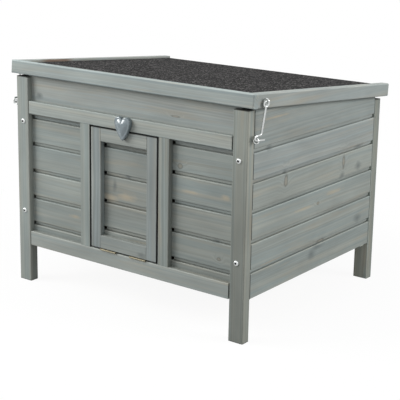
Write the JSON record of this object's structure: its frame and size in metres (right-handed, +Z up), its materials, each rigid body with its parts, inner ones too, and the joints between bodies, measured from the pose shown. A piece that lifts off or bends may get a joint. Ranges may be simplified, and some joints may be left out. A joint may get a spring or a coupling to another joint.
{
  "type": "rodent house",
  "caption": "Stained wooden house for small pets: tongued boards on legs, a sloping felt roof hinged at the rear, a drop-down door with a heart turn button, and wire hooks that hold the roof.",
  "frame": {"origin": "under the middle of the bounding box, on the ground plane the legs stand on", "axes": "+X to the right as seen from the front, +Y from the front to the rear, +Z up"},
  "size_m": [0.5444, 0.444, 0.4052],
  "materials": {
    "stained_softwood": "grey-stained fir, matt, grain and knots showing",
    "stained_trim": "light grey stain, satin",
    "bare_softwood": "planed, unstained",
    "roofing_felt": "bitumen felt with mineral granules",
    "zinc_steel": "bright zinc plating",
    "brass": "lacquered brass plating",
    "heart_plastic": "glossy grey-blue"
  },
  "bodies": {
    "house": {"leg_front_left": "stained_softwood", "leg_front_right": "stained_softwood", "leg_rear_left": "stained_softwood", "leg_rear_right": "stained_softwood", "front_upper_rail": "stained_softwood", "front_lower_rail": "stained_softwood", "door_post_left": "stained_softwood", "door_post_right": "stained_softwood", "front_header_board": "stained_softwood", "front_boards_left": "stained_softwood", "front_boards_right": "stained_softwood", "side_left_board_1": "stained_softwood", "side_left_board_2": "stained_softwood", "side_left_board_3": "stained_softwood", "side_left_board_4": "stained_softwood", "side_left_board_5": "stained_softwood", "side_left_board_6": "stained_softwood", "side_right_board_1": "stained_softwood", "side_right_board_2": "stained_softwood", "side_right_board_3": "stained_softwood", "side_right_board_4": "stained_softwood", "side_right_board_5": "stained_softwood", "side_right_board_6": "stained_softwood", "rear_upper_rail": "stained_softwood", "rear_lower_rail": "stained_softwood", "rear_boards": "stained_softwood", "corner_batten_front_left": "stained_softwood", "corner_batten_front_right": "stained_softwood", "corner_batten_rear_left": "stained_softwood", "corner_batten_rear_right": "stained_softwood", "floor_panel": "bare_softwood", "floor_batten_front": "bare_softwood", "floor_batten_rear": "bare_softwood", "frame_screws": "zinc_steel", "leg_eyes": "zinc_steel", "door_hinge_rail_leaves": "brass", "door_hinge_pins": "brass", "roof_hinge_wall_leaves": "brass", "roof_hinge_pins": "brass"},
    "door": {"door_stile_left": "stained_softwood", "door_stile_right": "stained_softwood", "door_top_rail": "stained_softwood", "door_bottom_rail": "stained_softwood", "door_boards": "stained_softwood", "door_hinge_door_leaves": "brass"},
    "button": {"heart_button": "heart_plastic", "button_screw": "zinc_steel"},
    "roof": {"roof_panel": "bare_softwood", "roof_felt": "roofing_felt", "roof_trim_front": "stained_trim", "roof_trim_left": "stained_trim", "roof_trim_right": "stained_trim", "roof_hinge_roof_leaves": "brass", "roof_eyes": "zinc_steel"},
    "hook_left": {"hook_left": "zinc_steel"},
    "hook_right": {"hook_right": "zinc_steel"}
  },
  "joints": [
    {"name": "door_hinge", "type": "hinge", "parent": "house", "child": "door", "pos_m": [0, -0.21316, 0.097], "axis": [1, 0, 0], "range_deg": [0, 110]},
    {"name": "button_turn", "type": "hinge", "parent": "house", "child": "button", "pos_m": [0.0028, -0.21146, 0.32425], "axis": [0, 1, 0], "continuous": true},
    {"name": "roof_hinge", "type": "hinge", "parent": "house", "child": "roof", "pos_m": [0, 0.21644, 0.35143], "axis": [-1, 0, 0], "range_deg": [0, 100]},
    {"name": "hook_left_swing", "type": "hinge", "parent": "roof", "child": "hook_left", "pos_m": [-0.2665, -0.18859, 0.38737], "axis": [-1, 0, 0], "range_deg": [0, 80]},
    {"name": "hook_right_swing", "type": "hinge", "parent": "roof", "child": "hook_right", "pos_m": [0.2665, -0.18859, 0.38737], "axis": [-1, 0, 0], "range_deg": [0, 80]}
  ]
}
